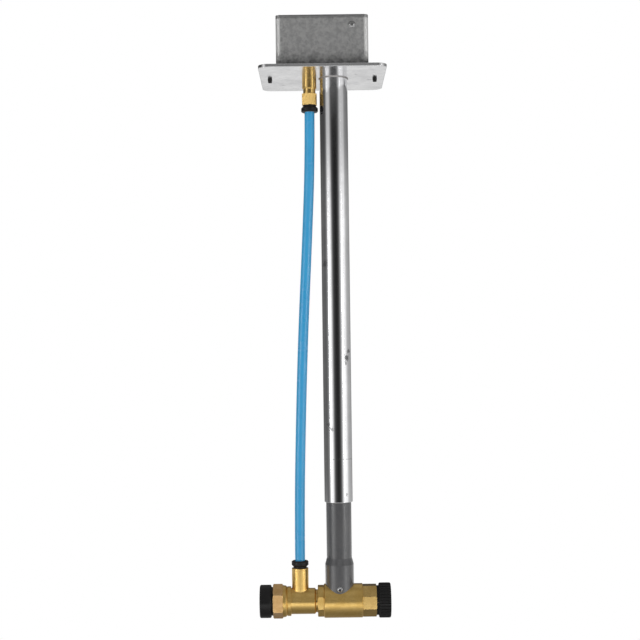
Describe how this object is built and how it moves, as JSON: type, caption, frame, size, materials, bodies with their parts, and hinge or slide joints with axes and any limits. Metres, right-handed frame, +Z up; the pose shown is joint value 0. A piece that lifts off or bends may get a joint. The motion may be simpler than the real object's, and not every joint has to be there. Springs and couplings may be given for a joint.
{
  "type": "telescopic ground tap",
  "caption": "Ground tap with a lidded box on a flange, a telescoping drive tube, a riser pipe and a brass shut-off valve with a tee at the bottom.",
  "frame": {"origin": "centre of the flange's underside, midway between its two screw holes", "axes": "+Z up along the tubes, +X to the right in the front view along the brass run, -Y to the front"},
  "size_m": [0.1305, 0.124, 0.5946],
  "materials": {
    "plate_steel": "polished, light scratches",
    "box_steel": "mottled satin",
    "tube_steel": "bright drawn tube",
    "hardware_steel": "satin",
    "brass": "turned and cast brass, bright",
    "bar_steel": "zinc plated",
    "handle_zinc": "powder coated",
    "black_plastic": "moulded, satin",
    "black_rubber": "matt",
    "grey_pipe": "extruded, satin",
    "blue_pipe": "extruded, semi-gloss",
    "white_plastic": "smooth"
  },
  "bodies": {
    "upper_housing": {"flange_plate": "plate_steel", "flange_bushes": "black_plastic", "box_wall": "box_steel", "hinge_leaf": "hardware_steel", "hinge_pin": "hardware_steel", "catch_screw": "hardware_steel", "catch_clip": "hardware_steel", "catch_nut": "hardware_steel", "outer_tube": "tube_steel", "tube_weld": "hardware_steel", "top_bush": "black_plastic", "bulkhead_body": "brass", "bulkhead_washer": "black_rubber", "bulkhead_nut": "brass", "hose_spigot": "brass", "spigot_ring": "black_rubber", "upper_pipe_seal": "black_rubber", "riser_pipe": "blue_pipe"},
    "lid": {"lid_plate": "box_steel", "lid_hinge_leaf": "hardware_steel", "lid_tab": "hardware_steel"},
    "drive_upper": {"lever_handle": "handle_zinc", "handle_screw": "hardware_steel", "drive_spindle": "bar_steel", "drive_tube": "bar_steel", "spindle_pin": "hardware_steel"},
    "lower_housing": {"inner_pipe": "grey_pipe", "friction_ring": "black_rubber", "pipe_screw": "hardware_steel", "valve_body": "brass", "valve_end": "brass", "valve_end_seal": "black_rubber", "valve_seats": "white_plastic", "gland_nut": "brass", "run_nipple": "brass", "tee_body": "brass", "lower_pipe_seal": "black_rubber", "port_seal": "black_rubber"},
    "drive_lower": {"drive_bar": "bar_steel", "drive_coupler": "bar_steel", "coupler_pin": "hardware_steel", "valve_stem": "brass", "stem_rings": "black_rubber", "valve_ball": "bar_steel"},
    "upper_release": {"upper_collet": "black_plastic"},
    "lower_release": {"lower_collet": "black_plastic"},
    "port_grip": {"grip_ring": "white_plastic"},
    "port_nut": {"port_nut": "brass"},
    "dust_plug": {"dust_plug": "black_plastic"},
    "plug_gasket": {"plug_gasket": "black_rubber"},
    "screw_plug": {"screw_plug": "black_plastic"}
  },
  "joints": [
    {"name": "lid_hinge", "type": "hinge", "parent": "upper_housing", "child": "lid", "pos_m": [0, 0.04835, 0.053], "axis": [-1, 0, 0], "range_deg": [0, 110]},
    {"name": "handle_turn", "type": "hinge", "parent": "upper_housing", "child": "drive_upper", "pos_m": [0.011, 0, 0], "axis": [0, 0, 1], "range_deg": [0, 90]},
    {"name": "telescope", "type": "slide", "parent": "upper_housing", "child": "lower_housing", "axis": [0, 0, -1], "range_m": [-0.05, 0.25], "deforming": ["riser_pipe"]},
    {"name": "valve_turn", "type": "hinge", "parent": "lower_housing", "child": "drive_lower", "pos_m": [0.011, 0, -0.5213], "axis": [0, 0, 1], "range_deg": [0, 90]},
    {"name": "upper_collet_press", "type": "slide", "parent": "upper_housing", "child": "upper_release", "axis": [0, 0, 1], "range_m": [0, 0.0015], "stiffness_N_per_m": 300, "springref_m": -0.0005},
    {"name": "lower_collet_press", "type": "slide", "parent": "lower_housing", "child": "lower_release", "axis": [0, 0, -1], "range_m": [0, 0.0015], "stiffness_N_per_m": 300, "springref_m": -0.0005},
    {"name": "port_nut_travel", "type": "slide", "parent": "lower_housing", "child": "port_grip", "axis": [-1, 0, 0], "range_m": [0, 0.00363]},
    {"name": "port_nut_turn", "type": "hinge", "parent": "port_grip", "child": "port_nut", "pos_m": [-0.0504, 0, -0.5213], "axis": [-1, 0, 0], "range_deg": [0, 720]},
    {"name": "dust_plug_pull", "type": "slide", "parent": "port_grip", "child": "dust_plug", "axis": [-1, 0, 0], "range_m": [0, 0.025]},
    {"name": "screw_plug_travel", "type": "slide", "parent": "lower_housing", "child": "plug_gasket", "axis": [1, 0, 0], "range_m": [0, 0.00908]},
    {"name": "screw_plug_turn", "type": "hinge", "parent": "plug_gasket", "child": "screw_plug", "pos_m": [0.0496, 0, -0.5213], "axis": [1, 0, 0], "range_deg": [0, 1800]}
  ],
  "couplings": [
    {"joint": "valve_turn", "follows": "handle_turn", "ratio": 1},
    {"joint": "port_nut_travel", "follows": "port_nut_turn", "m_per_rad": 0.00028871},
    {"joint": "screw_plug_travel", "follows": "screw_plug_turn", "m_per_rad": 0.00028871}
  ]
}
